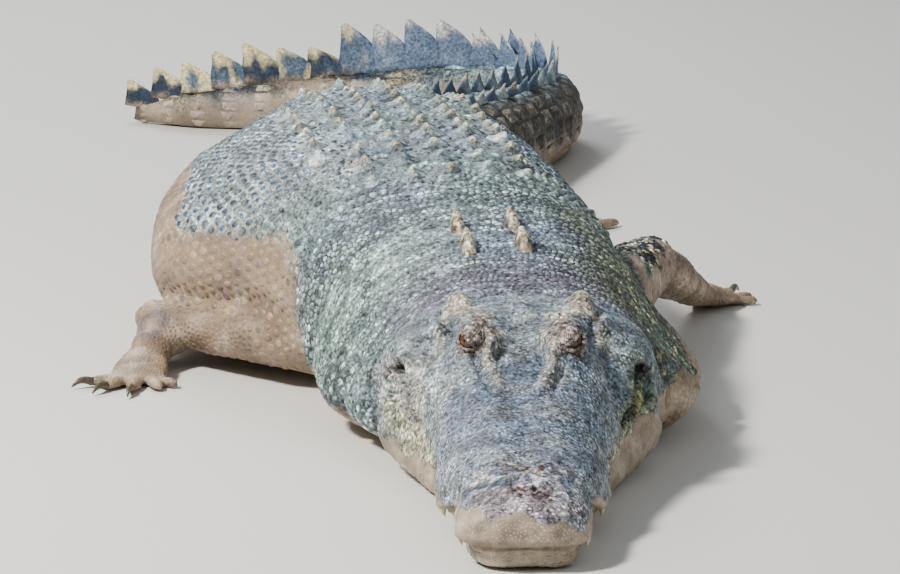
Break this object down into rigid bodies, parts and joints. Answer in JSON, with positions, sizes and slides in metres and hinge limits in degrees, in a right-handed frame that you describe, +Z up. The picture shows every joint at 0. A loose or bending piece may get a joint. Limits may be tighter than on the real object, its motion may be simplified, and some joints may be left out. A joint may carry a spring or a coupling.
{
  "type": "saltwater crocodile, still museum model",
  "caption": "Life-size saltwater crocodile lying on its belly, head straight ahead, body curved and crested tail swung round behind it.",
  "frame": {"origin": "middle of the ground under the whole animal: the centre of the bounding box, at floor level", "axes": "-Y is where the snout points, +Y towards the tail, +X the animal's left side, +Z up"},
  "size_m": [1.3068, 3.759, 0.4062],
  "materials": {
    "hide": "satin",
    "horn": "satin",
    "eye": "gloss"
  },
  "bodies": {
    "root": {"belly": "hide", "chest": "hide", "eye_left": "eye", "eye_right": "eye", "foot_left": "hide", "foot_left_claw_1": "horn", "foot_left_claw_2": "horn", "foot_left_claw_3": "horn", "foot_right": "hide", "foot_right_claw_1": "horn", "foot_right_claw_2": "horn", "foot_right_claw_3": "horn", "forearm_left": "hide", "forearm_right": "hide", "hand_left": "hide", "hand_left_claw_1": "horn", "hand_left_claw_2": "horn", "hand_left_claw_3": "horn", "hand_right": "hide", "hand_right_claw_1": "horn", "hand_right_claw_2": "horn", "hand_right_claw_3": "horn", "head": "hide", "lower_jaw": "hide", "neck": "hide", "neck_plate_left_1": "horn", "neck_plate_left_2": "horn", "neck_plate_right_1": "horn", "neck_plate_right_2": "horn", "rump": "hide", "shank_left": "hide", "shank_right": "hide", "tail_base": "hide", "tail_end": "hide", "tail_front": "hide", "tail_middle": "hide", "thigh_left": "hide", "thigh_right": "hide", "upper_arm_left": "hide", "upper_arm_right": "hide"}
  },
  "joints": []
}
